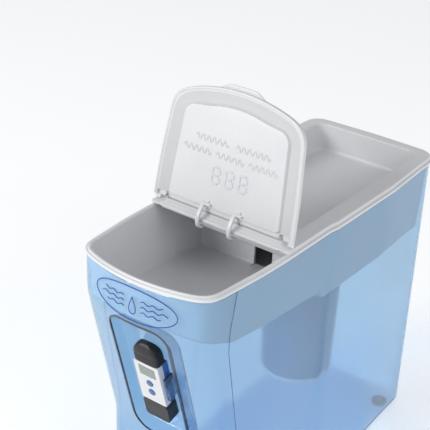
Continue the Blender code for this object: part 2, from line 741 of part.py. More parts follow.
def build_tester():
    top = -0.0296
    split = -0.0480
    end = -0.091
    middle = 0.0090
    wall = 0.0014
    half = TESTER_HALF_WIDTH

    def slab(name, x, low, high, front, back, finish=None, radius=0.0):
        outline = rectangle(x, low, high, radius) if radius else [(-x, low), (x, low), (x, high), (-x, high)]
        return extruded(name, outline, -back, -front, FRONT_VIEW, SLOPE, finish)

    bullet = bullet_outline(split, top, half, 0.0076)
    cap = extruded("tester_battery_cap", bullet, -TESTER_BACK, -TESTER_FRONT, FRONT_VIEW, SLOPE, BLACK)
    inner_front = TESTER_FRONT + wall
    inner_back = TESTER_BACK - wall
    cut(cap, slab("battery_cap_hollow", half - wall, split - 0.01, split + 0.003, inner_front, inner_back))
    smooth(cap)
    front = slab("tester_front_case", half, end, split - GAP, TESTER_FRONT, middle, WHITE)
    cut(front, slab("front_hollow", half - wall, end + wall, split - GAP - wall, TESTER_FRONT + wall, 0.02))
    cut(front, slab("window_hole", 0.0078, -0.0623, -0.0517, 0.0, 0.007))
    for height in (-0.070, -0.080):
        cut(front, rod("button_hole", 0.0033, (0, 0, height), (0, 0.007, height), SLOPE, steps=16))
    smooth(front)
    back = slab("tester_back_case", half, end, split - GAP, middle + GAP, TESTER_BACK, TAP_BLUE)
    cut(back, slab("back_hollow", half - wall, end + wall, split - GAP - wall, 0.0, TESTER_BACK - wall))
    smooth(back)
    slab("tester_circuit_board", half - wall - 0.0005, end + 0.002, split - 0.0025, 0.0084, 0.0096, BOARD)
    slab("tester_display_window", 0.0075, -0.0620, -0.0520, TESTER_FRONT - 0.0001, TESTER_FRONT + wall, LENS)
    for name, height in (("tester_power_button", -0.070), ("tester_hold_button", -0.080)):
        place = SLOPE @ Matrix.Translation((0, 0, height)) @ Matrix.Rotation(math.radians(90), 4, "X")
        inner = -TESTER_FRONT - wall - GAP
        profile = [
            (0.0, -TESTER_FRONT + 0.0006),
            (0.0030, -TESTER_FRONT + 0.0006),
            (0.0030, inner),
            (0.0040, inner),
            (0.0040, inner - 0.0008),
            (0.0, inner - 0.0008),
        ]
        smooth(turned(name, profile, False, place, TAP_BLUE, 16))
    for name, height in (("tester_cell_upper", -0.0575), ("tester_cell_lower", -0.0710)):
        smooth(rod(name, 0.0058, (0, 0.0100, height), (0, 0.0130, height), SLOPE, STEEL))
    slab("tester_probe_head", 0.0088, -0.100, end - GAP, 0.0056, 0.0129, BLACK)
    for name, x in (("tester_probe_left", -0.003), ("tester_probe_right", 0.003)):
        smooth(rod(name, 0.0008, (x, 0.00925, -0.1073), (x, 0.00925, -0.1003), SLOPE, STEEL, 12))
    cap_top = end - GAP * 2
    probe_cap = slab("tester_probe_cap", half, -0.1110, cap_top, TESTER_FRONT, TESTER_BACK, BLACK, 0.003)
    cut(probe_cap, slab("probe_cap_hollow", 0.0094, -0.1094, 0.0, 0.0051, 0.0134))
    smooth(probe_cap)


build_tank()
build_feet()
build_reservoir()
build_rear_cover()
build_fill_flap()
build_filter()
build_tap()
build_tester()
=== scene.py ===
import math

import bmesh
import bpy
from mathutils import Matrix, Vector


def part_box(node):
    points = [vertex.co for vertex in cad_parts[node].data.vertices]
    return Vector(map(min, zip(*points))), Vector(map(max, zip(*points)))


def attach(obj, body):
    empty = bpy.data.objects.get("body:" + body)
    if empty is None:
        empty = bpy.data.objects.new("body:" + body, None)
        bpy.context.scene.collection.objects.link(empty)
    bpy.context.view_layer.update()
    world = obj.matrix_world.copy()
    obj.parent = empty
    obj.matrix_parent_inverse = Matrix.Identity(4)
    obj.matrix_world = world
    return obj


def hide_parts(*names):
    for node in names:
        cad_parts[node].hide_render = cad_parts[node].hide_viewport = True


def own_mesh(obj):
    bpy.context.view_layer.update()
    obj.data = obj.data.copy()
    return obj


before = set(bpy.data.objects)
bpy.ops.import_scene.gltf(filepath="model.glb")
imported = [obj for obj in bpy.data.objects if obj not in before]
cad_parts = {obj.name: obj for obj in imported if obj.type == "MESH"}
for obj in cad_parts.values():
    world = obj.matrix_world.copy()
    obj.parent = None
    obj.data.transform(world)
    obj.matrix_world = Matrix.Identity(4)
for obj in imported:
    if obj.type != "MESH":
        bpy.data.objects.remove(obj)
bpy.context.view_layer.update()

# ---------------------------------------------------------------- places, from the frame
RIM_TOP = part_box("reservoir")[1].z
REAR_BEHIND_HINGE = 0.2365
HINGE_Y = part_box("reservoir")[1].y - REAR_BEHIND_HINGE
BODY = Matrix.Translation((0, HINGE_Y, RIM_TOP))

# The rim's outer edge, seen from above
HALF_WIDTH = 0.0675
REAR_HALF_WIDTH = 0.069
NOSE_REACH = 0.1055
NOSE_BOW_RADIUS = 0.147
NOSE_BOW_HALF = 0.047
NOSE_CORNER = (0.0618, -0.092)
NOSE_FILLET = 0.0196
REAR_FILLET = 0.015
OUTLINE_STEP = 0.0030

# The tank: its nose slopes back from the bend down to the slope's end
TANK_BOTTOM = 0.003 - RIM_TOP
TANK_FLOOR = 0.0028
TANK_WALL = 0.002
TANK_TOP = -0.0047
TANK_MOUTH_INSET = 0.00105
BEND_HEIGHT = -0.037
SLOPE_ANGLE = math.radians(16.3)
SLOPE_END = -0.166
LOW_REACH = 1 - (BEND_HEIGHT - SLOPE_END) * math.tan(SLOPE_ANGLE) / NOSE_REACH
SLOPE = BODY @ Matrix.Translation((0, -NOSE_REACH, BEND_HEIGHT)) @ Matrix.Rotation(SLOPE_ANGLE, 4, "X")

# The tester's niche, drawn on the slope
NICHE_HALF_WIDTH = 0.0277
NICHE_DEPTH = 0.0155
NICHE_TOP = -0.0028
NICHE_BOTTOM = -0.132
NICHE_CORNER = 0.0125
NICHE_BACK_RADIUS = 0.002
NICHE_ROOF_FALL = 0.8
NICHE_WALL = 0.0022

FILTER_Y = 0.127
TAP_HEIGHT = -0.205
TAP_VALVE_Y = -0.108
BOSS_RADIUS = 0.0155
TAP_HOLE_RADIUS = 0.0084

# Hinge bar and flap. The flap is drawn shut, around the hinge axis.
BAR_ABOVE_RIM = 0.0027
FLAP_OPEN = math.radians(100.9)
HINGE = BODY @ Matrix.Translation((0, 0, BAR_ABOVE_RIM)) @ Matrix.Rotation(-FLAP_OPEN, 4, "X")
HOOK_PLACES = (-0.0172, 0.0130)
HOOK_HALF_WIDTH = 0.0016
SKIN_LOW = 0.0008
SKIN_HIGH = 0.0026
LIP_LOW = 0.0004 - BAR_ABOVE_RIM
PAD_UNDERSIDE = SKIN_LOW - 0.0024

PALE_BLUE_LIGHT = (0.97, 0.985, 1.0)


# ---------------------------------------------------------------- materials
def tree_of(name):
    """A new material with its node tree, shader and output."""
    made = bpy.data.materials.new(name)
    made.use_nodes = True
    nodes = made.node_tree.nodes
    return made, made.node_tree, nodes["Principled BSDF"], nodes["Material Output"]


def noise(tree, scale, detail, rough=0.55, stretch=(1, 1, 1)):
    """A noise pattern in the piece's own coordinates."""
    where = tree.nodes.new("ShaderNodeTexCoord")
    mapping = tree.nodes.new("ShaderNodeMapping")
    mapping.inputs["Scale"].default_value = stretch
    pattern = tree.nodes.new("ShaderNodeTexNoise")
    pattern.inputs["Scale"].default_value = scale
    pattern.inputs["Detail"].default_value = detail
    pattern.inputs["Roughness"].default_value = rough
    tree.links.new(where.outputs["Object"], mapping.inputs["Vector"])
    tree.links.new(mapping.outputs["Vector"], pattern.inputs["Vector"])
    return pattern.outputs["Fac"]


def spread(tree, source, low, high, start=0.3, end=0.7):
    """The pattern stretched to a range of values."""
    ranged = tree.nodes.new("ShaderNodeMapRange")
    ranged.inputs["From Min"].default_value = start
    ranged.inputs["From Max"].default_value = end
    ranged.inputs["To Min"].default_value = low
    ranged.inputs["To Max"].default_value = high
    tree.links.new(source, ranged.inputs["Value"])
    return ranged.outputs["Result"]


def blend_colours(tree, source, first, second):
    """Two colours mixed by a pattern."""
    mixed = tree.nodes.new("ShaderNodeMix")
    mixed.data_type = "RGBA"
    mixed.inputs["A"].default_value = (*first, 1)
    mixed.inputs["B"].default_value = (*second, 1)
    tree.links.new(source, mixed.inputs["Factor"])
    return mixed.outputs["Result"]


def relief(tree, shader, layers):
    """Bump from patterns, each (pattern, depth in metres, strength)."""
    normal = None
    for source, depth, strength in layers:
        bump = tree.nodes.new("ShaderNodeBump")
        bump.inputs["Distance"].default_value = depth
        bump.inputs["Strength"].default_value = strength
        tree.links.new(source, bump.inputs["Height"])
        if normal is not None:
            tree.links.new(normal, bump.inputs["Normal"])
        normal = bump.outputs["Normal"]
    tree.links.new(normal, shader.inputs["Normal"])


def moulded(name, colour, shade, rough, grain=2600, grain_depth=0.00002, coat=0.0):
    """Moulded plastic: slow shade changes, a fine grain, faint sink marks and rubbed patches."""
    made, tree, shader, _ = tree_of(name)
    slow = noise(tree, 22, 3)
    fleck = noise(tree, 900, 2)
    tint = blend_colours(tree, spread(tree, slow, 0, 1), colour, shade)
    darker = tree.nodes.new("ShaderNodeMix")
    darker.data_type = "RGBA"
    darker.blend_type = "MULTIPLY"
    darker.inputs["Factor"].default_value = 0.10
    tree.links.new(tint, darker.inputs["A"])
    tree.links.new(fleck, darker.inputs["B"])
    tree.links.new(darker.outputs["Result"], shader.inputs["Base Color"])
    rubbed = noise(tree, 60, 5, 0.6)
    tree.links.new(spread(tree, rubbed, rough - 0.06, rough + 0.07), shader.inputs["Roughness"])
    shader.inputs["IOR"].default_value = 1.5
    shader.inputs["Coat Weight"].default_value = coat
    shader.inputs["Coat Roughness"].default_value = 0.12
    relief(tree, shader, [(noise(tree, grain, 2), grain_depth, 0.5), (noise(tree, 45, 1), 0.00008, 0.25)])
    return made


def metal(name, colour, rough, stretch):
    """Drawn or brushed metal: fine streaks along one direction and a little tarnish."""
    made, tree, shader, _ = tree_of(name)
    streaks = noise(tree, 1500, 3, 0.6, stretch)
    stain = noise(tree, 120, 4)
    shader.inputs["Metallic"].default_value = 1.0
    tarnished = [channel * 0.82 for channel in colour]
    tree.links.new(blend_colours(tree, stain, colour, tarnished), shader.inputs["Base Color"])
    tree.links.new(spread(tree, streaks, rough - 0.08, rough + 0.12), shader.inputs["Roughness"])
    relief(tree, shader, [(streaks, 0.00002, 0.4)])
    return made


def clear_blue(name, colour, density):
    """Tinted see-through plastic: the tint deepens with thickness, and lamps reach what is inside."""
    made, tree, shader, output = tree_of(name)
    cloud = spread(tree, noise(tree, 18, 3), 0, 1)
    surface = blend_colours(tree, cloud, (0.90, 0.96, 1.0), (0.86, 0.945, 1.0))
    tree.links.new(surface, shader.inputs["Base Color"])
    shader.inputs["Transmission Weight"].default_value = 0.95
    shader.inputs["IOR"].default_value = 1.49
    smear = noise(tree, 70, 5, 0.6)
    tree.links.new(spread(tree, smear, 0.03, 0.075), shader.inputs["Roughness"])
    relief(tree, shader, [(noise(tree, 26, 2), 0.00005, 0.35), (noise(tree, 1800, 2), 0.000006, 0.3)])
    lamp = tree.nodes.new("ShaderNodeLightPath")
    passing = tree.nodes.new("ShaderNodeBsdfTransparent")
    passing.inputs["Color"].default_value = (0.90, 0.95, 0.98, 1)
    either = tree.nodes.new("ShaderNodeMixShader")
    tree.links.new(lamp.outputs["Is Shadow Ray"], either.inputs["Fac"])
    tree.links.new(shader.outputs["BSDF"], either.inputs[1])
    tree.links.new(passing.outputs["BSDF"], either.inputs[2])
    tree.links.new(either.outputs["Shader"], output.inputs["Surface"])
    inside = tree.nodes.new("ShaderNodeVolumeAbsorption")
    inside.inputs["Color"].default_value = (*colour, 1)
    inside.inputs["Density"].default_value = density
    tree.links.new(inside.outputs["Volume"], output.inputs["Volume"])
    return made


def granules(name, colour, shade, scale, depth):
    """Beads or grains packed in a bed."""
    made, tree, shader, _ = tree_of(name)
    where = tree.nodes.new("ShaderNodeTexCoord")
    cells = tree.nodes.new("ShaderNodeTexVoronoi")
    cells.inputs["Scale"].default_value = scale
    tree.links.new(where.outputs["Object"], cells.inputs["Vector"])
    tree.links.new(blend_colours(tree, cells.outputs["Distance"], colour, shade), shader.inputs["Base Color"])
    shader.inputs["Roughness"].default_value = 0.6
    relief(tree, shader, [(cells.outputs["Distance"], depth, 0.8)])
    return made


def felt(name, colour, shade):
    """Non-woven pad: matted fibres in two directions."""
    made, tree, shader, _ = tree_of(name)
    across = noise(tree, 700, 5, 0.7, (1, 0.15, 1))
    along = noise(tree, 700, 5, 0.7, (0.15, 1, 1))
    tree.links.new(blend_colours(tree, across, colour, shade), shader.inputs["Base Color"])
    shader.inputs["Roughness"].default_value = 0.95
    shader.inputs["Sheen Weight"].default_value = 0.25
    relief(tree, shader, [(across, 0.0002, 0.6), (along, 0.0002, 0.6)])
    return made


LID = moulded("lid_white", (0.74, 0.74, 0.755), (0.70, 0.70, 0.72), 0.36)
# A darker copy of the lid's plastic, used only on the flap's cove: painted shade in the channel between lip
# and pad.
LID_PAINTED_SHADE = moulded("lid_painted_shade", (0.63, 0.63, 0.645), (0.60, 0.60, 0.615), 0.36)
RESERVOIR = moulded("reservoir_grey", (0.77, 0.78, 0.80), (0.73, 0.74, 0.76), 0.38)
TANK = clear_blue("tank_blue", (0.29, 0.60, 0.81), 258)
EMBLEM = moulded("emblem_blue", (0.014, 0.06, 0.34), (0.022, 0.09, 0.42), 0.34)
FILTER_BLUE = moulded("filter_blue", (0.24, 0.36, 0.50), (0.20, 0.32, 0.46), 0.34)
FILTER_WHITE = moulded("filter_white", (0.78, 0.81, 0.84), (0.73, 0.76, 0.80), 0.42)
BLACK = moulded("tester_black", (0.007, 0.007, 0.009), (0.013, 0.013, 0.015), 0.40)
TAP_BLUE = moulded("tap_blue", (0.045, 0.14, 0.42), (0.035, 0.11, 0.35), 0.28, coat=0.15)
RUBBER = moulded("rubber", (0.035, 0.035, 0.038), (0.05, 0.05, 0.052), 0.78, 1400, 0.00004)
SILICONE = moulded("silicone", (0.70, 0.74, 0.77), (0.64, 0.68, 0.72), 0.55, 1500, 0.00002)
STEEL = metal("steel", (0.62, 0.62, 0.64), 0.26, (0.08, 1, 1))
BOARD = moulded("board_green", (0.02, 0.20, 0.08), (0.03, 0.27, 0.11), 0.40, 1100, 0.00005)
PAD = felt("filter_pad", (0.84, 0.84, 0.79), (0.70, 0.70, 0.66))
CARBON = granules("carbon", (0.010, 0.010, 0.012), (0.06, 0.06, 0.065), 900, 0.0004)
RESIN = granules("resin", (0.42, 0.20, 0.05), (0.70, 0.45, 0.17), 1500, 0.0003)
WINDOW = moulded("display_window", (0.20, 0.24, 0.20), (0.17, 0.21, 0.18), 0.10, 3000, 0.000002, coat=1.0)


# ---------------------------------------------------------------- outlines
def fillet(corner, before, after, radius, steps=8):
    """Points of an arc that rounds a corner of an outline."""
    corner = Vector(corner)
    to_before = (Vector(before) - corner).normalized()
    to_after = (Vector(after) - corner).normalized()
    half = to_before.angle(to_after) / 2
    reach = radius / math.tan(half)
    centre = corner + (to_before + to_after).normalized() * (radius / math.sin(half))
    first = (corner + to_before * reach - centre).normalized()
    last = (corner + to_after * reach - centre).normalized()
    return [tuple(centre + first.slerp(last, step / steps) * radius) for step in range(steps + 1)]


def rounded(corners, steps=8):
    """An outline from (x, y, radius) corners, each rounded where its radius isn't 0."""
    outline = []
    for i, (x, y, radius) in enumerate(corners):
        before = corners[i - 1][:2]
        after = corners[(i + 1) % len(corners)][:2]
        outline.extend(fillet((x, y), before, after, radius, steps) if radius else [(x, y)])
    return outline


def inset(outline, distance):
    """The outline moved inwards by a distance; it runs anticlockwise."""
    moved = []
    for i, here in enumerate(outline):
        here = Vector(here)
        before = (here - Vector(outline[i - 1])).normalized()
        after = (Vector(outline[(i + 1) % len(outline)]) - here).normalized()
        inward = Vector((-before.y - after.y, before.x + after.x)).normalized()
        lean = max(0.3, inward.dot(Vector((-before.y, before.x))))
        moved.append(tuple(here + inward * (distance / lean)))
    return moved


def rectangle(half_width, low, high, radius, steps):
    """An upright rectangle about the middle line, its corners rounded."""
    corners = [(-half_width, low), (half_width, low), (half_width, high), (-half_width, high)]
    return rounded([(*corner, radius) for corner in corners], steps)


def evenly(outline, spacing):
    """The outline with points at an even spacing, its slight kinks eased."""
    closed = [Vector(p) for p in outline] + [Vector(outline[0])]
    lengths = [(b - a).length for a, b in zip(closed, closed[1:])]
    count = round(sum(lengths) / spacing)
    step = sum(lengths) / count
    points = []
    reached = 0.0
    for a, b, length in zip(closed, closed[1:], lengths):
        while len(points) < count and len(points) * step <= reached + length:
            points.append(a.lerp(b, (len(points) * step - reached) / length))
        reached += length
    for _ in range(2):
        points = [
            (points[i - 1] + 2 * point + points[(i + 1) % count]) / 4 for i, point in enumerate(points)
        ]
    return [tuple(point) for point in points]


def body_outline():
    """Outer edge of the rim, seen from above, anticlockwise."""
    bow_centre = NOSE_BOW_RADIUS - NOSE_REACH
    right = []
    for step in range(1, 12):
        x = NOSE_BOW_HALF * step / 11
        right.append((x, bow_centre - math.sqrt(NOSE_BOW_RADIUS**2 - x**2), 0))
    right.append((*NOSE_CORNER, NOSE_FILLET))
    right += [
        (0.0664, -0.039, 0),
        (HALF_WIDTH, -0.010, 0),
        (HALF_WIDTH, 0.057, 0),
        (REAR_HALF_WIDTH, 0.061, 0),
        (REAR_HALF_WIDTH, 0.150, 0),
        (0.0656, 0.203, 0),
        (0.0648, 0.2345, REAR_FILLET),
    ]
    left = [(-x, y, radius) for x, y, radius in reversed(right)]
    corners = [(0.0, -NOSE_REACH, 0)] + right + [(0.0, REAR_BEHIND_HINGE, 0)] + left
    return evenly(rounded(corners), OUTLINE_STEP)


OUTLINE = body_outline()


def body(distance, reach=1.0):
    """The body's outline inset by a distance, its nose drawn back to a share of its reach."""
    return inset([(x, y * reach if y < 0 else y) for x, y in OUTLINE], distance)


def front_part(outline, end, radius):
    """The part of an outline in front of a line across it, its two new corners rounded."""
    kept = [point for point in outline if point[1] < end - radius - 0.001]
    start = next(i for i, (a, b) in enumerate(zip(kept, kept[1:])) if b[0] - a[0] < -0.05)
    right = kept[start]
    left = kept[start + 1]
    back = fillet((right[0], end), right, (0, end), radius) + fillet((left[0], end), (0, end), left, radius)
    return kept[: start + 1] + back + kept[start + 1:]


# ---------------------------------------------------------------- modelling helpers
def from_work(name, work, place, finish):
    """An object from a finished bmesh."""
    bmesh.ops.recalc_face_normals(work, faces=work.faces)
    mesh = bpy.data.meshes.new(name)
    work.to_mesh(mesh)
    work.free()
    made = bpy.data.objects.new(name, mesh)
    bpy.context.scene.collection.objects.link(made)
    if finish is not None:
        mesh.materials.append(finish)
    made.matrix_world = place
    return made


def loft(name, rings, place=BODY, finish=None, ring_section=False):
    """A skin through rings of equal point count, closed at both ends or onto its first ring."""
    work = bmesh.new()
    loops = [[work.verts.new(point) for point in ring] for ring in rings]
    pairs = list(zip(loops, loops[1:]))
    if ring_section:
        pairs.append((loops[-1], loops[0]))
    else:
        work.faces.new(reversed(loops[0]))
        work.faces.new(loops[-1])
    for low, high in pairs:
        for i in range(len(low)):
            j = (i + 1) % len(low)
            work.faces.new((low[i], low[j], high[j], high[i]))
    return from_work(name, work, place, finish)


def level(outline, height):
    """An outline at a height."""
    return [(x, y, height) for x, y in outline]


# How a drawing in X and Y, extruded along Z, is turned: left as it is, or drawn in Y and Z.
FLAT = Matrix.Identity(4)
SIDE_VIEW = Matrix(((0, 0, 1, 0), (1, 0, 0, 0), (0, 1, 0, 0), (0, 0, 0, 1)))


def prism(name, outline, low, high, view=FLAT, place=BODY, edge=0.0, steps=3):
    """An outline extruded from low to high, its rims rounded by edge."""
    rows = []
    for step in range(steps + 1 if edge else 1):
        angle = math.radians(90 * step / steps)
        rows.append((edge * (1 - math.sin(angle)), low + edge * (1 - math.cos(angle))))
    rows += [(distance, low + high - height) for distance, height in reversed(rows)]
    made = loft(name, [level(inset(outline, distance), height) for distance, height in rows], place)
    made.data.transform(view)
    return made


def box(name, low, high, place=BODY, edge=0.0):
    """A block between two corners, its edges rounded by edge."""
    half = [(b - a) / 2 for a, b in zip(low, high)]
    outline = [(-half[0], -half[1]), (half[0], -half[1]), (half[0], half[1]), (-half[0], half[1])]
    if edge:
        outline = rounded([(*corner, edge * 1.5) for corner in outline], 4)
    made = prism(name, outline, low[2], high[2], FLAT, place, edge)
    made.data.transform(Matrix.Translation(((low[0] + high[0]) / 2, (low[1] + high[1]) / 2, 0)))
    return made


def rod(name, radius, start, end, steps=48, edge=0.0):
    """A cylinder between two points, its rims rounded by edge."""
    start = Vector(start)
    span = Vector(end) - start
    turn = span.to_track_quat("Z", "Y").to_matrix().to_4x4()
    angles = [2 * math.pi * step / steps for step in range(steps)]
    outline = [(radius * math.cos(angle), radius * math.sin(angle)) for angle in angles]
    made = prism(name, outline, 0, span.length, edge=edge)
    made.data.transform(Matrix.Translation(start) @ turn)
    return made


def tube(name, path, radius, place, finish, cyclic=False, sides=10):
    """A round bead along a path."""
    curve = bpy.data.curves.new(name, "CURVE")
    curve.dimensions = "3D"
    curve.bevel_depth = radius
    curve.bevel_resolution = sides // 2 - 2
    curve.use_fill_caps = True
    spline = curve.splines.new("POLY")
    spline.points.add(len(path) - 1)
    for point, spot in zip(spline.points, path):
        point.co = (*spot, 1.0)
    spline.use_cyclic_u = cyclic
    guide = bpy.data.objects.new(name + "_path", curve)
    bpy.context.scene.collection.objects.link(guide)
    ready = guide.evaluated_get(bpy.context.evaluated_depsgraph_get())
    mesh = bpy.data.meshes.new_from_object(ready)
    bpy.data.objects.remove(guide)
    work = bmesh.new()
    work.from_mesh(mesh)
    bmesh.ops.remove_doubles(work, verts=work.verts, dist=0.000001)
    return from_work(name, work, place, finish)


def combine(target, other, operation):
    """Cuts the other from the target, joins it to it, or keeps what they share. The other is used up."""
    boolean = target.modifiers.new("boolean", "BOOLEAN")
    boolean.operation = operation
    boolean.object = other
    boolean.solver = "EXACT"
    bpy.context.view_layer.update()
    ready = target.evaluated_get(bpy.context.evaluated_depsgraph_get())
    mesh = bpy.data.meshes.new_from_object(ready)
    target.modifiers.clear()
    target.data = mesh
    bpy.data.objects.remove(other)


def cut(target, other):
    combine(target, other, "DIFFERENCE")


def add(target, other):
    combine(target, other, "UNION")


def keep(target, other):
    combine(target, other, "INTERSECT")


def round_edges(made, width, wanted):
    """Rounds the sharp edges whose middle is wanted."""
    sharp = math.radians(35)
    work = bmesh.new()
    work.from_mesh(made.data)
    bmesh.ops.remove_doubles(work, verts=work.verts, dist=0.00001)
    edges = []
    for edge in work.edges:
        middle = (edge.verts[0].co + edge.verts[1].co) / 2
        if len(edge.link_faces) == 2 and wanted(middle) and edge.calc_face_angle() > sharp:
            edges.append(edge)
    bmesh.ops.bevel(
        work, geom=edges, offset=width, offset_type="OFFSET", segments=4,
        profile=0.5, affect="EDGES", clamp_overlap=False,
    )
    work.to_mesh(made.data)
    work.free()


def finished(made, body_name, slot, *replaced):
    """Shades the piece, ties it to its CAD body and hides the CAD nodes it stands for."""
    made.data.shade_smooth()
    made.data.set_sharp_from_angle(angle=math.radians(32))
    made.data.transform(made.matrix_world)
    made.matrix_world = Matrix.Identity(4)
    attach(made, body_name)
    if replaced:
        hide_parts(*replaced)


def rounded_square(angle, power):
    """A point at an angle on a circle drawn out towards a square: the smaller the power, the squarer."""
    across, up = math.cos(angle), math.sin(angle)
    return math.copysign(abs(across) ** power, across), math.copysign(abs(up) ** power, up)


# ---------------------------------------------------------------- reservoir
# Each section is a list of (inset from the outline, height).
RIM_SECTION = [
    (0.0003, -0.0042), (0.0000, -0.0036), (0.0000, -0.0026), (0.0003, -0.0018), (0.0009, -0.0014),
    (0.0014, -0.0015), (0.0017, -0.0013), (0.0019, -0.0006), (0.0024, -0.0001), (0.0031, 0.0000),
    (0.0039, -0.0002), (0.0046, -0.0008), (0.0052, -0.0020), (0.0060, -0.0034),
]
SHELL_SECTION = [(0.0075, -0.068), (0.0056, -0.036), (0.0034, -0.0046), (0.0013, -0.0044)] + RIM_SECTION
CAVITY_SECTION = [(0.0100, -0.080), (0.0050, -0.002), (0.0049, 0.010)]

# Side views, as (y, z): what is kept of the shell, the filling basin and the filter chamber
UNDERSIDE = [
    (-0.12, 0.01), (-0.12, -0.030), (-0.10, -0.036), (-0.06, -0.0525), (0.032, -0.059), (0.057, -0.062),
    (0.0605, -0.068), (0.25, -0.068), (0.25, 0.01),
]
BASIN_SIDE = [
    (-0.12, 0.02), (-0.12, -0.026), (-0.098, -0.0345), (-0.060, -0.0505), (0.032, -0.057),
    (0.057, -0.060), (0.057, -0.027), (0.0595, -0.027), (0.0595, 0.02),
]
CHAMBER_SIDE = [(0.059, 0.02), (0.059, -0.062), (0.0625, -0.066), (0.25, -0.066), (0.25, 0.02)]
COLLAR_RADIUS = 0.0315
SOCKET_RADIUS = 0.029


def build_reservoir():
    """The grey shell with its rolled rim, a filling basin in front and a filter chamber behind."""
    shell_rings = [level(body(d), z) for d, z in SHELL_SECTION]
    reservoir = loft("reservoir", shell_rings, BODY, RESERVOIR)
    keep(reservoir, prism("underside", UNDERSIDE, -0.08, 0.08, SIDE_VIEW))
    round_edges(reservoir, 0.0022, lambda spot: spot.z < -0.034 and abs(spot.x) > 0.002)
    collar_ends = (0, FILTER_Y, -0.076), (0, FILTER_Y, -0.067)
    add(reservoir, rod("collar", COLLAR_RADIUS, *collar_ends, steps=72, edge=0.0006))
    for name, side in (("basin", BASIN_SIDE), ("chamber", CHAMBER_SIDE)):
        cavity = loft(name, [level(body(d), z) for d, z in CAVITY_SECTION])
        keep(cavity, prism(name + "_side", side, -0.08, 0.08, SIDE_VIEW))
        round_edges(cavity, 0.0028, lambda spot: spot.z < -0.0275)
        cut(reservoir, cavity)
    cut(reservoir, box("doorway", (-0.005, 0.052, -0.0602), (0.013, 0.064, -0.035), edge=0.0006))
    socket_ends = (0, FILTER_Y, -0.09), (0, FILTER_Y, -0.05)
    cut(reservoir, rod("socket", SOCKET_RADIUS, *socket_ends, steps=72))
    finished(reservoir, "reservoir", "reservoir_grey", "reservoir")


# ---------------------------------------------------------------- tank
FOOT_INSET = 0.0026
WALL_SPREAD = 0.0016
BEND_EASE = 0.007
BOTTOM_RADIUS = 0.006
FLOOR_RADIUS = 0.004
WALL_HEIGHTS = (
    -0.24, -0.21, -0.19, -0.175, -0.171, -0.168, -0.166, -0.164, -0.161, -0.157,
    -0.14, -0.11, -0.08, -0.055, -0.046, -0.042, -0.039, -0.036, -0.033, -0.030, -0.026,
)
SEAM_Y = -0.0633
SEAM_LEAN = 0.18
SEAM_TOP = -0.0056
SEAM_STEP = 0.0036
EMBLEM_HEIGHT = -0.0219


def wall_inset(height):
    """How far the tank's outer wall stands inside the rim's edge."""
    share = (height - TANK_BOTTOM) / (TANK_TOP - TANK_BOTTOM)
    return FOOT_INSET - WALL_SPREAD * share


def nose_share(height):
    """How far forward the nose reaches at a height, its two bends eased."""

    def ramp(value):
        """0 below the bend, rising at slope 1 above it, with a round join."""
        if value <= -BEND_EASE:
            return 0.0
        if value >= BEND_EASE:
            return value
        return (value + BEND_EASE) ** 2 / (4 * BEND_EASE)

    slope = (1 - LOW_REACH) / (BEND_HEIGHT - SLOPE_END)
    return LOW_REACH + slope * (ramp(height - SLOPE_END) - ramp(height - BEND_HEIGHT))


def wall_rings(bottom, radius, inward):
    """Rings of the tank's wall from a bottom with a rounded edge up, moved inward by a distance."""
    rows = []
    for step in range(6):
        angle = math.radians(90 * step / 5)
        rows.append((bottom + radius * (1 - math.cos(angle)), radius * (1 - math.sin(angle))))
    rows += [(height, 0.0) for height in WALL_HEIGHTS]
    return [level(body(wall_inset(z) + inward + extra, nose_share(z)), z) for z, extra in rows]


def niche_rings(grow):
    """Rings of the tester's niche from its back to outside the nose, drawn on the nose's slope."""
    back_radius = NICHE_BACK_RADIUS + grow
    rows = []
    for step in range(5):
        angle = math.radians(90 * step / 4)
        inner = back_radius * (1 - math.sin(angle))
        rows.append((NICHE_DEPTH + grow - back_radius * (1 - math.cos(angle)), inner))
    rows += [(0.008, 0.0), (0.003, 0.0), (-0.004, -0.0004), (-0.02, -0.0008)]
    rings = []
    for depth, inner in rows:
        half = NICHE_HALF_WIDTH + grow - inner
        low = NICHE_BOTTOM - grow + inner
        high = NICHE_TOP + grow - max(depth, 0) * NICHE_ROOF_FALL - inner
        outline = rectangle(half, low, high, NICHE_CORNER + grow - inner, 10)
        rings.append([(x, depth, z) for x, z in outline])
    return rings


def build_tank():
    """The blue tank, thin-walled and open at its top, with the tester's niche and the tap's boss."""
    outer = wall_rings(TANK_BOTTOM, BOTTOM_RADIUS, 0.0)
    outer.append(level(body(TANK_MOUTH_INSET), TANK_TOP - 0.0006))
    outer.append(level(body(TANK_MOUTH_INSET + 0.0004), TANK_TOP))
    tank = loft("tank", outer, BODY, TANK)
    inner = wall_rings(TANK_BOTTOM + TANK_FLOOR, FLOOR_RADIUS, TANK_WALL)
    for height in (TANK_TOP, 0.01):
        inner.append(level(body(TANK_MOUTH_INSET + TANK_WALL), height))
    hollow = loft("hollow", inner)
    cut(hollow, loft("niche_wall", niche_rings(NICHE_WALL), SLOPE))
    wall_front = -NOSE_REACH * LOW_REACH + 0.002
    inside_nose = (0, wall_front + 0.0035, TAP_HEIGHT)
    cut(hollow, rod("boss_keep", BOSS_RADIUS, (0, -0.1, TAP_HEIGHT), inside_nose))
    cut(tank, hollow)
    boss_ends = (0, wall_front - 0.0015, TAP_HEIGHT), (0, wall_front + 0.001, TAP_HEIGHT)
    add(tank, rod("tap_boss", BOSS_RADIUS, *boss_ends, edge=0.0005))
    cut(tank, loft("niche", niche_rings(0.0), SLOPE))
    cut(tank, rod("tap_hole", TAP_HOLE_RADIUS, (0, -0.1, TAP_HEIGHT), (0, -0.05, TAP_HEIGHT)))
    for side in (-1, 1):
        low, high = sorted((side * 0.0124, side * 0.0144))
        cradle_ends = (low, 0.006, -0.085), (high, NICHE_DEPTH + 0.001, -0.062)
        add(tank, box("cradle", *cradle_ends, SLOPE, edge=0.0003))
    finished(tank, "tank", "tank_blue", "tank")


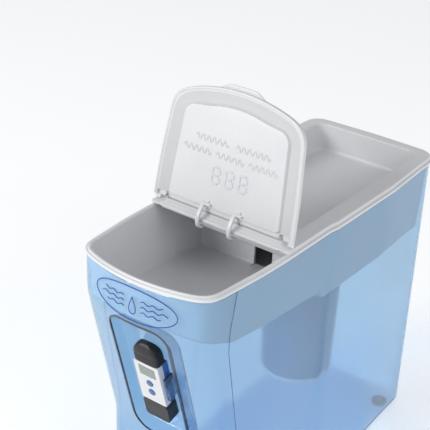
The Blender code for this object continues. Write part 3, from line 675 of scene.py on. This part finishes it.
def build_seams():
    """A fine moulding line down each side of the tank."""
    for side, name in ((-1, "left"), (1, "right")):
        path = []
        for step in range(59):
            depth = SEAM_STEP * step
            height = SEAM_TOP - depth
            y = (SEAM_Y - SEAM_LEAN * min(depth, 0.05)) * nose_share(height)
            wall = [p for p in body(wall_inset(height), nose_share(height)) if p[0] * side > 0.03]
            near = max((p for p in wall if p[1] <= y), key=lambda p: p[1])
            far = min((p for p in wall if p[1] > y), key=lambda p: p[1])
            share = (y - near[1]) / (far[1] - near[1])
            path.append((near[0] + (far[0] - near[0]) * share, y, height))
        finished(tube(f"tank_seam_{name}", path, 0.00028, BODY, EMBLEM, sides=8), "tank", "tank_blue")


def on_nose(x, z):
    """A point on the nose's band under the rim."""
    radius = NOSE_BOW_RADIUS - wall_inset(z)
    return (x, NOSE_BOW_RADIUS - NOSE_REACH - math.sqrt(radius**2 - x**2), z)


def build_emblem():
    """An oval bead on the nose with a drop and waves in it."""
    oval = []
    for step in range(96):
        angle = 2 * math.pi * step / 96
        across = rounded_square(angle, 0.92)[0]
        oval.append(on_nose(0.0382 * across, EMBLEM_HEIGHT + 0.0139 * math.sin(angle)))
    drop = []
    for step in range(40):
        angle = 2 * math.pi * step / 40
        half = 0.0044 * math.sin(angle) * math.sin(angle / 2) ** 1.4
        drop.append(on_nose(half, EMBLEM_HEIGHT - 0.001 + 0.0072 * math.cos(angle)))
    beads = [
        tube("tank_emblem_oval", oval, 0.00042, BODY, EMBLEM, cyclic=True),
        tube("tank_emblem_drop", drop, 0.0004, BODY, EMBLEM, cyclic=True),
    ]
    start = 0.008
    for side in (-1, 1):
        for row, end in enumerate((0.027, 0.031, 0.025)):
            wave = []
            for step in range(31):
                reach = start + (end - start) * step / 30
                rise = 0.0009 * math.sin((reach - start) * 2 * math.pi / 0.0085)
                wave.append(on_nose(side * reach, EMBLEM_HEIGHT + 0.0045 * (1 - row) + rise))
            name = f"tank_emblem_wave_{'left' if side < 0 else 'right'}_{row + 1}"
            beads.append(tube(name, wave, 0.0004, BODY, EMBLEM))
    for bead in beads:
        finished(bead, "tank", "tank_blue")


# ---------------------------------------------------------------- rear cover
RECESS = dict(half=0.052, front=0.027, rear=0.224, floor=-0.023, top=0.003, corner=0.011, draft=0.0012)
RECESS_FLARE = 0.0014
COVER_SECTION = [(0.0016, 0.0003), (0.0012, 0.0006), (0.0012, 0.0020), (0.0014, 0.0026), (0.0020, 0.0030)]


def recess_rings(grow, flared):
    """Rings of the cover's recess from its floor up, flared at its mouth, or of the tray round it."""
    floor = RECESS["floor"] - grow
    fillet_radius = 0.004 + grow / 2
    rows = []
    for step in range(6):
        angle = math.radians(90 * step / 5)
        narrower = RECESS["draft"] + fillet_radius * (1 - math.sin(angle))
        rows.append((narrower, floor + fillet_radius * (1 - math.cos(angle))))
    if flared:
        for step in range(5):
            angle = math.radians(90 * step / 4)
            height = RECESS["top"] - RECESS_FLARE * (1 - math.sin(angle))
            rows.append((-RECESS_FLARE * (1 - math.cos(angle)), height))
        rows.append((-RECESS_FLARE, 0.02))
    else:
        rows.append((0.0, RECESS["top"] - 0.0012))
    rings = []
    for narrower, height in rows:
        half = RECESS["half"] + grow - narrower
        low = RECESS["front"] - grow + narrower
        high = RECESS["rear"] + grow - narrower
        rings.append(level(rectangle(half, low, high, RECESS["corner"] + grow - narrower, 12), height))
    return rings


# The hinge bar, as (y, z) from the hinge axis: a ridge behind that falls to a low lip in front
BAR_SECTION = [
    (0.0036, -0.0026), (0.0041, -0.0008), (0.0040, 0.0010), (0.0036, 0.0022), (0.0030, 0.0027),
    (0.0024, 0.0026), (0.0019, 0.0020), (0.0008, 0.0015), (-0.0008, 0.0008), (-0.0021, -0.0001),
    (-0.0026, -0.0002), (-0.0031, 0.0002), (-0.0036, 0.0000), (-0.0038, -0.0006), (-0.0041, -0.0008),
    (-0.0045, -0.0009), (-0.0046, -0.0015), (-0.0043, -0.0024), (-0.0034, -0.0033), (-0.0010, -0.0040),
]
PADDLE = dict(front=-0.0044, rear=0.0104, low=-0.0024, top=0.0006)
PADDLE_START = 0.0610
PADDLE_NECK = 0.0060


def paddle_section():
    """A flat rounded plate with a point for each point of the bar's section, in the same order."""
    middle_y = (PADDLE["front"] + PADDLE["rear"]) / 2
    middle_z = (PADDLE["low"] + PADDLE["top"]) / 2
    half_y = (PADDLE["rear"] - PADDLE["front"]) / 2
    half_z = (PADDLE["top"] - PADDLE["low"]) / 2
    plate = []
    for i in range(len(BAR_SECTION)):
        angle = math.radians(-35 + 360 * i / len(BAR_SECTION))
        across, up = rounded_square(angle, 0.35)
        plate.append((middle_y + half_y * across, middle_z + half_z * up))
    return plate


def bar_rings():
    """Sections of the hinge bar from end to end: each end flares into a flat plate on the rim."""
    plate = paddle_section()
    plate_middle = Vector((0.0029, -0.0008))
    # Each station is (distance from the middle, how flat it is, how far its edge is drawn in).
    stations = [(0.0662, 1.0, 0.0010), (0.0658, 1.0, 0.0003), (0.0648, 1.0, 0.0), (PADDLE_START, 1.0, 0.0)]
    for step in range(1, 9):
        share = step / 8
        eased = share * share * (3 - 2 * share)
        stations.append((PADDLE_START - PADDLE_NECK * share, 1 - eased, 0.0))
    rings = []
    for side in (-1, 1):
        half = []
        for x, flat, shrink in stations:
            ring = []
            for (y, z), (plate_y, plate_z) in zip(BAR_SECTION, plate):
                drawn = Vector((y, z)).lerp(Vector((plate_y, plate_z)), flat)
                drawn += (plate_middle * flat - drawn).normalized() * shrink
                ring.append((side * x, drawn.x, drawn.y))
            half.append(ring)
        rings += half if side < 0 else half[::-1]
    return rings


def build_rear_cover():
    """The cover over the filter chamber: a plate with a deep recess, and the hinge bar in front."""
    cover = loft("rear_cover", [level(body(d), z) for d, z in COVER_SECTION], BODY, LID)
    cut(cover, box("cover_front", (-0.08, -0.12, -0.01), (0.08, 0.0028, 0.02)))
    add(cover, loft("tray", recess_rings(0.002, False)))
    lip = prism("lip", body(0.0056), -0.004, 0.001)
    cut(lip, prism("lip_inside", body(0.0072), -0.01, 0.01))
    cut(lip, box("lip_front", (-0.08, -0.12, -0.01), (0.08, 0.012, 0.01)))
    add(cover, lip)
    cut(cover, loft("recess", recess_rings(0.0, True)))
    for x in HOOK_PLACES:
        cut(cover, box("hook_slot", (x - 0.0026, 0.0, -0.01), (x + 0.0026, 0.0100, 0.02)))
    add(cover, loft("bar", bar_rings(), BODY @ Matrix.Translation((0, 0, BAR_ABOVE_RIM))))
    finished(cover, "rear_cover", "lid_white", "rear_cover")


# ---------------------------------------------------------------- flap
# The middle of a hook's side view with the flap open, as (y, z) from the hinge axis
HOOK_LINE = [
    (0.0022, 0.0112), (-0.0004, 0.0112), (-0.0034, 0.0080), (-0.0060, 0.0040), (-0.0072, 0.0000),
    (-0.0071, -0.0030), (-0.0058, -0.0056), (-0.0036, -0.0071), (-0.0012, -0.0076),
]
HOOK_THICKNESS = 0.0023
FLAP_EDGE = -0.0050
EAR_EDGE = -0.0017
FLAP_MIDDLE = -0.0475
FLAP_HALF_WIDTH = 0.067
FLAP_HALF_LENGTH = 0.0575
BORDER_THICKNESS = 0.0004
BORDER_PROUD = 0.00012
PAD_FRONT = -0.0848
PAD_REAR = -0.0086
PAD_BOW_HALF = 0.036
PAD_BOW = 0.0066
TAB_HALF_WIDTH = 0.0235
TAB_REACH = 0.0040

# Sections of the flap, as (inset, height)
FLAP_COVE = [(0.0150, 0.0003), (0.0112, 0.0000), (0.0068, -0.0011), (0.0038, -0.0021)]
FLAP_LIP = [
    (0.0029, SKIN_LOW - 0.0022),
    (0.0023, SKIN_LOW - 0.0024),
    (0.0020, LIP_LOW + 0.0004),
    (0.0017, LIP_LOW + 0.0001),
    (0.0012, LIP_LOW),
    (0.0006, LIP_LOW + 0.0001),
    (0.0001, LIP_LOW + 0.0005),
    (0.0000, LIP_LOW + 0.0012),
    (0.0000, SKIN_HIGH - 0.0016),
    (0.0003, SKIN_HIGH - 0.0008),
    (0.0009, SKIN_HIGH - 0.0002),
    (0.0018, SKIN_HIGH),
]
PAD_SECTION = [
    (0.0014, PAD_UNDERSIDE),
    (0.0006, SKIN_LOW - 0.0022),
    (0.0002, SKIN_LOW - 0.0016),
    (0.0000, SKIN_LOW - 0.0004),
    (-0.0003, SKIN_LOW - 0.0001),
    (-0.0004, SKIN_LOW + 0.0004),
    (-0.0004, SKIN_HIGH - 0.0006),
]
DISH_SECTION = [
    (0.0034, SKIN_HIGH - 0.0030),
    (0.0024, SKIN_HIGH - 0.0028),
    (0.0018, SKIN_HIGH - 0.0022),
    (0.0014, SKIN_HIGH - 0.0006),
    (0.0010, SKIN_HIGH - 0.0001),
    (0.0002, SKIN_HIGH + 0.0004),
    (0.0002, 0.01),
]


def smooth_line(spots, steps):
    """Points of a smooth curve through the spots."""
    spots = [Vector(spot) for spot in spots]
    padded = [2 * spots[0] - spots[1]] + spots + [2 * spots[-1] - spots[-2]]
    line = []
    for before, start, end, after in zip(padded, padded[1:], padded[2:], padded[3:]):
        for step in range(steps):
            t = step / steps
            line.append(
                start + t * (end - before) / 2
                + t * t * (2 * before - 5 * start + 4 * end - after) / 2
                + t * t * t * (3 * start - before - 3 * end + after) / 2
            )
    line.append(spots[-1])
    return line


def hook_outline():
    """A hook's side view, from the pad round the front of the bar to below it, in the closed flap's frame."""
    turn = Matrix.Rotation(FLAP_OPEN, 2)
    line = [turn @ point for point in smooth_line(HOOK_LINE, 5)]
    half = HOOK_THICKNESS / 2
    left, right = [], []
    for i, point in enumerate(line):
        along = (line[min(i + 1, len(line) - 1)] - line[max(i - 1, 0)]).normalized()
        side = Vector((-along.y, along.x)) * half
        left.append(tuple(point + side))
        right.append(tuple(point - side))
    tip = []
    for step in range(1, 6):
        angle = math.radians(180 * step / 6)
        tip.append(tuple(line[-1] + side * math.cos(angle) + along * half * math.sin(angle)))
    return (left + tip + right[::-1])[::-1]


def pad_outline(distance):
    """The raised pad's outline, its front edge bowed, drawn in by a distance."""
    front = [(-0.0482, PAD_FRONT, 0.010), (0.0482, PAD_FRONT, 0.010)]
    rear = [(0.0532, PAD_REAR, 0.004), (-0.0532, PAD_REAR, 0.004)]
    bow = []
    for step in range(1, 8):
        x = -PAD_BOW_HALF + 2 * PAD_BOW_HALF * step / 8
        bow.append((x, PAD_FRONT - PAD_BOW * (1 - (x / PAD_BOW_HALF) ** 2), 0))
    return inset(rounded(front[:1] + bow + front[1:] + rear, 8), distance)


def pad_rings(section):
    """Rings of the pad or of the dish in its back."""
    return [level(pad_outline(d), z) for d, z in section]


def shrunk(outline, distance):
    """The flap's outline drawn in towards its middle, without folding at its corners."""
    across = 1 - distance / FLAP_HALF_WIDTH
    along = 1 - distance / FLAP_HALF_LENGTH
    return [(x * across, (y - FLAP_MIDDLE) * along + FLAP_MIDDLE) for x, y in outline]


def flap_outline():
    """The flap's edge, seen from above with the flap shut."""
    return front_part(body(0.0005), 0.010, 0.004)


def clear_of_bar(piece):
    """Leaves room in a piece of the flap for the hinge bar and the cover behind it."""
    cut(piece, box("back_cut", (-0.08, EAR_EDGE, -0.02), (0.08, 0.03, 0.02), HINGE))
    cut(piece, box("bar_room", (-0.0618, FLAP_EDGE, -0.022), (0.0618, 0.032, 0.022), HINGE))
    lip_low = (-0.081, FLAP_EDGE - 0.0001, -0.021)
    cut(piece, box("lip_room", lip_low, (0.081, 0.031, SKIN_LOW + 0.0001), HINGE))
    cut(piece, box("gap_room", (-0.0640, -0.0090, -0.022), (0.0640, 0.033, SKIN_LOW + 0.0002), HINGE))


def build_flap_painted_shade():
    """A thin skin on the flap's cove between its lip and its pad, in a darker copy of the lid's plastic:
    painted shade for the channel.
    """
    section = [(d, SKIN_LOW + z - BORDER_PROUD) for d, z in FLAP_COVE]
    section += [(d, SKIN_LOW + z + BORDER_THICKNESS) for d, z in reversed(FLAP_COVE)]
    outline = flap_outline()
    rings = [level(shrunk(outline, d), z) for d, z in section]
    shade_skin = loft("fill_flap_painted_shade", rings, HINGE, LID_PAINTED_SHADE, ring_section=True)
    clear_of_bar(shade_skin)
    finished(shade_skin, "fill_flap", "lid_white")


def thumb_tab():
    """The tab on the flap's front edge, a soft point that follows the nose."""
    outline = []
    for step in range(41):
        x = TAB_HALF_WIDTH - 2 * TAB_HALF_WIDTH * step / 40
        share = min(1.0, (TAB_HALF_WIDTH - abs(x)) / 0.012)
        edge = NOSE_BOW_RADIUS - NOSE_REACH - math.sqrt(NOSE_BOW_RADIUS**2 - x**2) + 0.0012
        outline.append((x, edge - TAB_REACH * share * share * (3 - 2 * share)))
    outline = [(TAB_HALF_WIDTH, -0.096)] + outline + [(-TAB_HALF_WIDTH, -0.096)]
    heights = SKIN_LOW + 0.0001, SKIN_HIGH - 0.0001
    return prism("thumb_tab", outline[::-1], *heights, FLAT, HINGE, edge=0.0006)


def add_hook(flap, x):
    """A hook round the hinge bar, with its base, a pocket and a notch in the pad beside it."""
    low, high = x - HOOK_HALF_WIDTH, x + HOOK_HALF_WIDTH
    add(flap, prism("hook", hook_outline(), low, high, SIDE_VIEW, HINGE, edge=0.0005))
    base_low = (low, -0.0128, PAD_UNDERSIDE - 0.0024)
    base_high = (low + 0.0088, -0.0108, PAD_UNDERSIDE + 0.0008)
    add(flap, box("hook_base", base_low, base_high, HINGE, edge=0.0005))
    mark_depth = PAD_UNDERSIDE - 0.001, PAD_UNDERSIDE + 0.0009
    pocket_low = (x + 0.0025, -0.0106, mark_depth[0])
    pocket_high = (x + 0.0068, -0.0090, mark_depth[1])
    cut(flap, box("pocket", pocket_low, pocket_high, HINGE))
    notch = [(x + 0.0040, -0.0132), (x + 0.0058, -0.0132), (x + 0.0049, -0.0150)]
    cut(flap, prism("notch", notch[::-1], *mark_depth, FLAT, HINGE))


def build_fill_flap():
    """The flap over the filling basin, drawn shut and then swung open about the hinge axis."""
    outline = flap_outline()
    rings = [level(shrunk(outline, d), SKIN_LOW + z) for d, z in FLAP_COVE]
    rings += [level(inset(outline, d), z) for d, z in FLAP_LIP]
    flap = loft("fill_flap", rings, HINGE, LID)
    clear_of_bar(flap)
    add(flap, loft("pad", pad_rings(PAD_SECTION), HINGE))
    cut(flap, loft("dish", pad_rings(DISH_SECTION), HINGE))
    add(flap, thumb_tab())
    for x in HOOK_PLACES:
        add_hook(flap, x)
    # The cove's darker skin: painted shade.
    build_flap_painted_shade()
    finished(flap, "fill_flap", "lid_white", "fill_flap")


RIPPLE = 0.0052
RIPPLE_HEIGHT = 0.0022
RIPPLE_ROWS = ((-0.0626, ((-0.034, 6), (0.0045, 6))), (-0.0524, ((-0.044, 5), (-0.013, 5), (0.018, 5))))
CELL_MIDDLES = (-0.0102, 0.0026, 0.0154)
CELL_Y = -0.0362
CELL_HALF_WIDTH = 0.0034
CELL_HALF_HEIGHT = 0.0066
STROKE_GAP = 0.0012


def build_relief():
    """Raised marks on the flap's underside: two rows of ripples over three blank display cells."""
    marks = []
    for row, (y, runs) in enumerate(RIPPLE_ROWS):
        for run, (start, count) in enumerate(runs):
            path = []
            for step in range(count * 12 + 1):
                swing = RIPPLE_HEIGHT * math.sin(2 * math.pi * step / 12)
                path.append((start + RIPPLE * step / 12, y - swing, PAD_UNDERSIDE - 0.0001))
            marks.append(tube(f"flap_ripple_{row + 1}_{run + 1}", path, 0.00058, HINGE, LID))
    spots = [(-1, 1), (1, 1), (1, 0), (1, -1), (-1, -1), (-1, 0)]
    for cell, middle in enumerate(CELL_MIDDLES):
        corners = [(middle + CELL_HALF_WIDTH * a, CELL_Y + CELL_HALF_HEIGHT * b) for a, b in spots]
        strokes = list(zip(corners, corners[1:] + corners[:1])) + [(corners[5], corners[2])]
        for stroke, (start, end) in enumerate(strokes):
            start, end = Vector((*start, PAD_UNDERSIDE)), Vector((*end, PAD_UNDERSIDE))
            along = (end - start).normalized() * STROKE_GAP
            path = [start + along, (start + end) / 2, end - along]
            marks.append(tube(f"flap_cell_{cell + 1}_{stroke + 1}", path, 0.00085, HINGE, LID))
    for mark in marks:
        finished(mark, "fill_flap", "lid_white")


# ---------------------------------------------------------------- tester
CAP_FRONT, CAP_BACK = 0.0035, 0.0150
CAP_FOOT, CAP_TOP = -0.0480, -0.0296
GRIP_STEPS = (3, 5, 7, 9)
GRIP_DEPTH = 0.0003


def dome(rise, start, power):
    """How wide the end cap is at a share of its height: full up to a start, then rounding over."""
    return max(0.0, 1 - max(0.0, (rise - start) / (1 - start)) ** power) ** 0.5


def build_battery_cap():
    """The tester's end cap: a rounded block that domes over at its top, with a grip band round it."""
    low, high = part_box("tester_battery_cap")
    half_x = (high.x - low.x) / 2
    half_y = (CAP_BACK - CAP_FRONT) / 2
    middle_y = (CAP_FRONT + CAP_BACK) / 2
    rings = []
    for step in range(33):
        rise = math.sin(math.radians(90 * step / 32))
        height = CAP_FOOT + (CAP_TOP - CAP_FOOT) * rise
        groove = GRIP_DEPTH if step in GRIP_STEPS else 0.0
        reach_x = half_x * max(dome(rise, 0.25, 2.6), 0.02) - groove
        reach_y = half_y * max(dome(rise, 0.42, 2.2), 0.02) - groove
        ring = []
        for turn in range(72):
            across, deep = rounded_square(2 * math.pi * turn / 72, 0.45)
            ring.append((reach_x * across, middle_y + reach_y * deep, height))
        rings.append(ring)
    cap = loft("tester_end_cap", rings, SLOPE, BLACK)
    finished(cap, "tester", "tester_black", "tester_battery_cap")


# ---------------------------------------------------------------- tap
SPRING_WIRE = 0.0004
SPRING_RADIUS = 0.0052
SPRING_TURNS = 7
CLOSED_TURNS = 0.9
STEPS_A_TURN = 24


def build_tap_spring():
    """The tap's spring, its end turns closed."""
    tap = BODY @ Matrix.Translation((0, TAP_VALVE_Y, TAP_HEIGHT))
    wire = SPRING_WIRE
    low, high = -0.0034 + wire, 0.0150 - wire
    path = []
    for step in range(SPRING_TURNS * STEPS_A_TURN + 1):
        turn = step / STEPS_A_TURN
        share = min(max((turn - CLOSED_TURNS) / (SPRING_TURNS - 2 * CLOSED_TURNS), 0.0), 1.0)
        closed = min(turn, CLOSED_TURNS) + max(turn - SPRING_TURNS + CLOSED_TURNS, 0.0)
        height = low + (high - low - wire * 4.2) * share + wire * 2.1 * closed / CLOSED_TURNS
        angle = 2 * math.pi * turn
        path.append((SPRING_RADIUS * math.cos(angle), SPRING_RADIUS * math.sin(angle), height))
    spring = tube("tap_spring_coil", path, wire, tap, STEEL, sides=8)
    finished(spring, "tank", "steel", "tap_spring")
    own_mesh(spring)


# ---------------------------------------------------------------- finishes of the CAD nodes
FINISHES = {
    RUBBER: (
        "foot_front_left", "foot_front_right", "foot_rear_left", "foot_rear_right",
        "tap_outer_washer", "tap_inner_washer",
    ),
    FILTER_BLUE: ("filter_housing",),
    FILTER_WHITE: ("filter_inlet_cap", "filter_base", "tap_stem"),
    PAD: ("filter_coarse_pad", "filter_foam_disc", "filter_fine_pad"),
    CARBON: ("filter_carbon_bed",),
    RESIN: ("filter_resin_bed",),
    SILICONE: ("filter_seal", "tap_valve_seal"),
    TAP_BLUE: ("tap_body", "tap_lever", "tester_back_case", "tester_power_button", "tester_hold_button"),
    LID: ("tap_bonnet", "tap_nut", "tester_front_case"),
    STEEL: (
        "tap_pivot_pin", "tester_cell_upper", "tester_cell_lower",
        "tester_probe_left", "tester_probe_right",
    ),
    BOARD: ("tester_circuit_board",),
    WINDOW: ("tester_display_window",),
    BLACK: ("tester_probe_head", "tester_probe_cap"),
}


def finish_cad_nodes():
    """Gives the CAD solids that stay visible their finishes."""
    for finish, names in FINISHES.items():
        for name in names:
            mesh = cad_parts[name].data
            mesh.materials.clear()
            mesh.materials.append(finish)


# ---------------------------------------------------------------- stage, light and camera
def build_stage():
    """A wide pale floor that glows faintly, so that it stays near white round the shadow."""
    made, tree, shader, _ = tree_of("floor_pale")
    surface = blend_colours(tree, noise(tree, 6, 3), (0.86, 0.865, 0.87), (0.84, 0.845, 0.85))
    tree.links.new(surface, shader.inputs["Base Color"])
    shader.inputs["Roughness"].default_value = 0.7
    shader.inputs["Emission Color"].default_value = (*PALE_BLUE_LIGHT, 1)
    shader.inputs["Emission Strength"].default_value = 0.37
    work = bmesh.new()
    bmesh.ops.create_circle(work, cap_ends=True, radius=9.0, segments=96)
    floor = from_work("floor", work, Matrix.Translation((0, 0, -0.0002)), made)


def softbox(name, spot, size, power, colour):
    """A rectangular lamp turned towards the dispenser."""
    lamp = bpy.data.lights.new(name, "AREA")
    lamp.shape = "RECTANGLE"
    lamp.size, lamp.size_y = size
    lamp.energy = power
    lamp.color = colour
    made = bpy.data.objects.new(name, lamp)
    bpy.context.scene.collection.objects.link(made)
    made.location = spot
    made.rotation_euler = (Vector((0, 0, 0.2)) - Vector(spot)).to_track_quat("-Z", "Y").to_euler()


def build_light():
    """A soft tent, brighter round its sides than overhead, with a large soft box in front on the left."""
    world = bpy.data.worlds.new("studio")
    bpy.context.scene.world = world
    world.use_nodes = True
    tree = world.node_tree
    sky = tree.nodes["Background"]
    where = tree.nodes.new("ShaderNodeTexCoord")
    parts = tree.nodes.new("ShaderNodeSeparateXYZ")
    tree.links.new(where.outputs["Generated"], parts.inputs["Vector"])
    tree.links.new(spread(tree, parts.outputs["Z"], 0.64, 0.46, 0.1, 0.9), sky.inputs["Strength"])
    sky.inputs["Color"].default_value = (*PALE_BLUE_LIGHT, 1)
    softbox("key", (-1.0, -2.05, 1.3), (1.1, 0.9), 31, (1, 0.995, 0.98))
    softbox("fill", (1.9, -0.5, 1.3), (0.9, 0.9), 8.0, PALE_BLUE_LIGHT)
    bpy.context.scene.view_settings.view_transform = "Standard"


FOCAL_LENGTH = 98.71
SENSOR_WIDTH = 36
CAMERA_SPOT = (0.4727, HINGE_Y - 0.6559, 0.691)
CAMERA_AZIMUTH = 36.1
CAMERA_ELEVATION = 27.3
CAMERA_ROLL = 2.5


def build_camera():
    """The photo's viewpoint, in front on the right and above; its angles are in degrees."""
    lens = bpy.data.cameras.new("camera")
    lens.lens = FOCAL_LENGTH
    lens.sensor_width = SENSOR_WIDTH
    made = bpy.data.objects.new("camera", lens)
    bpy.context.scene.collection.objects.link(made)
    azimuth, elevation, roll = map(math.radians, (CAMERA_AZIMUTH, CAMERA_ELEVATION, CAMERA_ROLL))
    sight = Vector((
        -math.sin(azimuth) * math.cos(elevation),
        math.cos(azimuth) * math.cos(elevation),
        -math.sin(elevation),
    ))
    turn = sight.to_track_quat("-Z", "Y").to_matrix().to_4x4() @ Matrix.Rotation(roll, 4, "Z")
    made.matrix_world = Matrix.Translation(CAMERA_SPOT) @ turn
    bpy.context.scene.camera = made


build_reservoir()
build_tank()
build_seams()
build_emblem()
build_rear_cover()
build_fill_flap()
build_relief()
build_battery_cap()
build_tap_spring()
finish_cad_nodes()
build_stage()
build_light()
build_camera()
